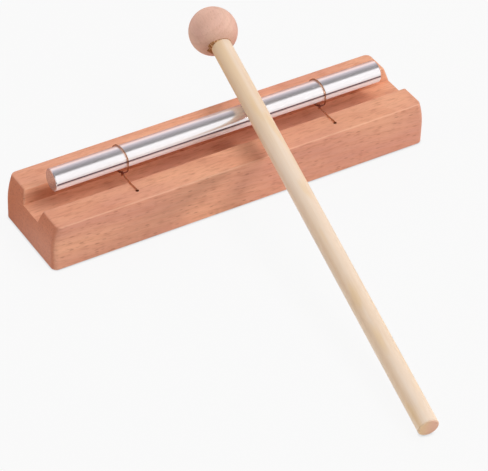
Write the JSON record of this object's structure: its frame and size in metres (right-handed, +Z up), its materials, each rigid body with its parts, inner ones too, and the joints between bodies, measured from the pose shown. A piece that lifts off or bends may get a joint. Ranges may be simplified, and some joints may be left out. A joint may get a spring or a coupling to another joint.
{
  "type": "hand chime",
  "caption": "Wooden block with a groove along its top, a metal rod held over the groove by looped cords, and a wooden mallet that leans on the rod.",
  "frame": {"origin": "middle of the block's underside", "axes": "+X along the block to the right, +Y away from the player, +Z up; the mallet's handle points to the front"},
  "size_m": [0.204, 0.258, 0.0619],
  "materials": {
    "beech": "fine-sanded, satin",
    "polished_aluminium": "polished",
    "monofilament": "drawn nylon, translucent",
    "birch": "sanded, bare",
    "beech_ball": "turned, fine-sanded"
  },
  "bodies": {
    "base": {"block": "beech", "cord_left": "monofilament", "cord_right": "monofilament"},
    "chime": {"chime_rod": "polished_aluminium"},
    "mallet": {"mallet_stick": "birch", "mallet_head": "beech_ball"}
  },
  "joints": [
    {"name": "chime_bounce", "type": "slide", "parent": "base", "child": "chime", "axis": [0, 0, 1], "range_m": [-0.0015, 0], "stiffness_N_per_m": 1500, "springref_m": 0.0004, "deforming": ["cord_left", "cord_right"]},
    {"name": "mallet_lift", "type": "slide", "parent": "base", "child": "mallet", "axis": [0, 0, 1], "range_m": [0, 0.08]}
  ]
}
